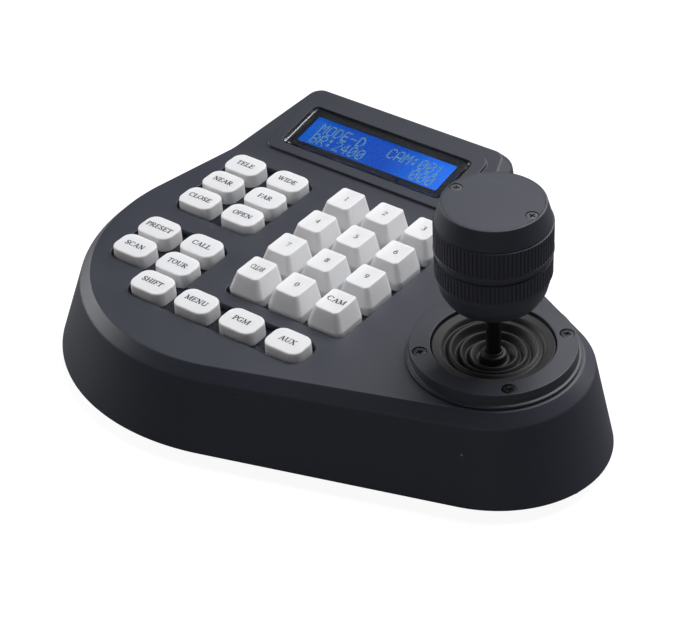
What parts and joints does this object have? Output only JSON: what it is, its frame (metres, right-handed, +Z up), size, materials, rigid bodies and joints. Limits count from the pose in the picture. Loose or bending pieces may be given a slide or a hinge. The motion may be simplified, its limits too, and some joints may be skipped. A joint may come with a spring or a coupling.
{
  "type": "camera hand controller",
  "caption": "Desk-top camera hand controller: bell-shaped sloping case, raised display window, rounded and tapered push keys, and a gimballed joystick with a twist knob.",
  "frame": {"origin": "centre of the bounding box's footprint, on the plane the feet rest on", "axes": "+X to the user's right, +Y away from the user, +Z up"},
  "size_m": [0.2143, 0.178, 0.0997],
  "materials": {
    "case": "fine-grained moulded plastic",
    "base": "fine-grained moulded plastic",
    "foot": "matt rubber",
    "lens": "clear polished acrylic",
    "bezel": "black painted steel",
    "lcd": "backlit blue liquid-crystal panel",
    "board": "solder-masked circuit board",
    "key_mat": "silicone sheet",
    "ring": "fine satin moulding",
    "boot": "matt rubber",
    "gimbal": "glass-filled nylon",
    "sensor": "moulded sensor case",
    "socket": "black moulded socket",
    "shaft": "blackened steel",
    "knob": "satin moulding with fine knurl",
    "case_screw": "zinc-plated steel",
    "black_screw": "black-oxide steel",
    "key": "off-white satin plastic"
  },
  "bodies": {
    "case": {"top_cover": "case", "bottom_cover": "base", "foot_1": "foot", "foot_2": "foot", "foot_3": "foot", "foot_4": "foot", "case_screw_1": "case_screw", "case_screw_2": "case_screw", "case_screw_3": "case_screw", "case_screw_4": "case_screw", "display_lens": "lens", "lcd_bezel": "bezel", "lcd_glass": "lcd", "lcd_board": "board", "key_mat": "key_mat", "main_board": "board", "joystick_ring": "ring", "ring_screw_1": "black_screw", "ring_screw_2": "black_screw", "ring_screw_3": "black_screw", "ring_screw_4": "black_screw", "joystick_boot": "boot", "gimbal_housing": "gimbal", "pot_x": "sensor", "dc_jack": "socket", "data_socket": "socket"},
    "gimbal": {"gimbal_ring": "gimbal", "pot_y": "sensor"},
    "stick": {"joystick_shaft": "shaft"},
    "knob": {"knob_lower": "knob", "knob_upper": "knob", "knob_screw_1": "black_screw", "knob_screw_2": "black_screw"},
    "key_tele_body": {"key_tele": "key"},
    "key_wide_body": {"key_wide": "key"},
    "key_near_body": {"key_near": "key"},
    "key_far_body": {"key_far": "key"},
    "key_close_body": {"key_close": "key"},
    "key_open_body": {"key_open": "key"},
    "key_preset_body": {"key_preset": "key"},
    "key_call_body": {"key_call": "key"},
    "key_scan_body": {"key_scan": "key"},
    "key_tour_body": {"key_tour": "key"},
    "key_shift_body": {"key_shift": "key"},
    "key_menu_body": {"key_menu": "key"},
    "key_pgm_body": {"key_pgm": "key"},
    "key_aux_body": {"key_aux": "key"},
    "key_1_body": {"key_1": "key"},
    "key_2_body": {"key_2": "key"},
    "key_3_body": {"key_3": "key"},
    "key_4_body": {"key_4": "key"},
    "key_5_body": {"key_5": "key"},
    "key_6_body": {"key_6": "key"},
    "key_7_body": {"key_7": "key"},
    "key_8_body": {"key_8": "key"},
    "key_9_body": {"key_9": "key"},
    "key_clear_body": {"key_clear": "key"},
    "key_0_body": {"key_0": "key"},
    "key_cam_body": {"key_cam": "key"}
  },
  "joints": [
    {"name": "tilt_fore_aft", "type": "hinge", "parent": "case", "child": "gimbal", "pos_m": [0.0653, -0.01547, 0.02381], "axis": [1, 0, 0], "range_deg": [-20, 20], "stiffness_Nm_per_rad": 0.4, "deforming": ["joystick_boot"]},
    {"name": "tilt_left_right", "type": "hinge", "parent": "gimbal", "child": "stick", "pos_m": [0.0653, -0.01547, 0.02381], "axis": [0, 0.9969, 0.0785], "range_deg": [-20, 20], "stiffness_Nm_per_rad": 0.4, "deforming": ["joystick_boot"]},
    {"name": "knob_twist", "type": "hinge", "parent": "stick", "child": "knob", "pos_m": [0.0653, -0.01992, 0.08043], "axis": [0, -0.0785, 0.9969], "range_deg": [-30, 30], "stiffness_Nm_per_rad": 0.03},
    {"name": "key_tele_press", "type": "slide", "parent": "case", "child": "key_tele_body", "axis": [0, 0.0785, -0.9969], "range_m": [0, 0.0018], "stiffness_N_per_m": 180, "springref_m": -0.0012},
    {"name": "key_wide_press", "type": "slide", "parent": "case", "child": "key_wide_body", "axis": [0, 0.0785, -0.9969], "range_m": [0, 0.0018], "stiffness_N_per_m": 180, "springref_m": -0.0012},
    {"name": "key_near_press", "type": "slide", "parent": "case", "child": "key_near_body", "axis": [0, 0.0785, -0.9969], "range_m": [0, 0.0018], "stiffness_N_per_m": 180, "springref_m": -0.0012},
    {"name": "key_far_press", "type": "slide", "parent": "case", "child": "key_far_body", "axis": [0, 0.0785, -0.9969], "range_m": [0, 0.0018], "stiffness_N_per_m": 180, "springref_m": -0.0012},
    {"name": "key_close_press", "type": "slide", "parent": "case", "child": "key_close_body", "axis": [0, 0.0785, -0.9969], "range_m": [0, 0.0018], "stiffness_N_per_m": 180, "springref_m": -0.0012},
    {"name": "key_open_press", "type": "slide", "parent": "case", "child": "key_open_body", "axis": [0, 0.0785, -0.9969], "range_m": [0, 0.0018], "stiffness_N_per_m": 180, "springref_m": -0.0012},
    {"name": "key_preset_press", "type": "slide", "parent": "case", "child": "key_preset_body", "axis": [0, 0.0785, -0.9969], "range_m": [0, 0.0018], "stiffness_N_per_m": 180, "springref_m": -0.0012},
    {"name": "key_call_press", "type": "slide", "parent": "case", "child": "key_call_body", "axis": [0, 0.0785, -0.9969], "range_m": [0, 0.0018], "stiffness_N_per_m": 180, "springref_m": -0.0012},
    {"name": "key_scan_press", "type": "slide", "parent": "case", "child": "key_scan_body", "axis": [0, 0.0785, -0.9969], "range_m": [0, 0.0018], "stiffness_N_per_m": 180, "springref_m": -0.0012},
    {"name": "key_tour_press", "type": "slide", "parent": "case", "child": "key_tour_body", "axis": [0, 0.0785, -0.9969], "range_m": [0, 0.0018], "stiffness_N_per_m": 180, "springref_m": -0.0012},
    {"name": "key_shift_press", "type": "slide", "parent": "case", "child": "key_shift_body", "axis": [0, 0.0785, -0.9969], "range_m": [0, 0.0018], "stiffness_N_per_m": 180, "springref_m": -0.0012},
    {"name": "key_menu_press", "type": "slide", "parent": "case", "child": "key_menu_body", "axis": [0, 0.0785, -0.9969], "range_m": [0, 0.0018], "stiffness_N_per_m": 180, "springref_m": -0.0012},
    {"name": "key_pgm_press", "type": "slide", "parent": "case", "child": "key_pgm_body", "axis": [0, 0.0785, -0.9969], "range_m": [0, 0.0018], "stiffness_N_per_m": 180, "springref_m": -0.0012},
    {"name": "key_aux_press", "type": "slide", "parent": "case", "child": "key_aux_body", "axis": [0, 0.0785, -0.9969], "range_m": [0, 0.0018], "stiffness_N_per_m": 180, "springref_m": -0.0012},
    {"name": "key_1_press", "type": "slide", "parent": "case", "child": "key_1_body", "axis": [0, 0.0785, -0.9969], "range_m": [0, 0.003], "stiffness_N_per_m": 180, "springref_m": -0.0012},
    {"name": "key_2_press", "type": "slide", "parent": "case", "child": "key_2_body", "axis": [0, 0.0785, -0.9969], "range_m": [0, 0.003], "stiffness_N_per_m": 180, "springref_m": -0.0012},
    {"name": "key_3_press", "type": "slide", "parent": "case", "child": "key_3_body", "axis": [0, 0.0785, -0.9969], "range_m": [0, 0.003], "stiffness_N_per_m": 180, "springref_m": -0.0012},
    {"name": "key_4_press", "type": "slide", "parent": "case", "child": "key_4_body", "axis": [0, 0.0785, -0.9969], "range_m": [0, 0.003], "stiffness_N_per_m": 180, "springref_m": -0.0012},
    {"name": "key_5_press", "type": "slide", "parent": "case", "child": "key_5_body", "axis": [0, 0.0785, -0.9969], "range_m": [0, 0.003], "stiffness_N_per_m": 180, "springref_m": -0.0012},
    {"name": "key_6_press", "type": "slide", "parent": "case", "child": "key_6_body", "axis": [0, 0.0785, -0.9969], "range_m": [0, 0.003], "stiffness_N_per_m": 180, "springref_m": -0.0012},
    {"name": "key_7_press", "type": "slide", "parent": "case", "child": "key_7_body", "axis": [0, 0.0785, -0.9969], "range_m": [0, 0.003], "stiffness_N_per_m": 180, "springref_m": -0.0012},
    {"name": "key_8_press", "type": "slide", "parent": "case", "child": "key_8_body", "axis": [0, 0.0785, -0.9969], "range_m": [0, 0.003], "stiffness_N_per_m": 180, "springref_m": -0.0012},
    {"name": "key_9_press", "type": "slide", "parent": "case", "child": "key_9_body", "axis": [0, 0.0785, -0.9969], "range_m": [0, 0.003], "stiffness_N_per_m": 180, "springref_m": -0.0012},
    {"name": "key_clear_press", "type": "slide", "parent": "case", "child": "key_clear_body", "axis": [0, 0.0785, -0.9969], "range_m": [0, 0.003], "stiffness_N_per_m": 180, "springref_m": -0.0012},
    {"name": "key_0_press", "type": "slide", "parent": "case", "child": "key_0_body", "axis": [0, 0.0785, -0.9969], "range_m": [0, 0.003], "stiffness_N_per_m": 180, "springref_m": -0.0012},
    {"name": "key_cam_press", "type": "slide", "parent": "case", "child": "key_cam_body", "axis": [0, 0.0785, -0.9969], "range_m": [0, 0.003], "stiffness_N_per_m": 180, "springref_m": -0.0012}
  ]
}
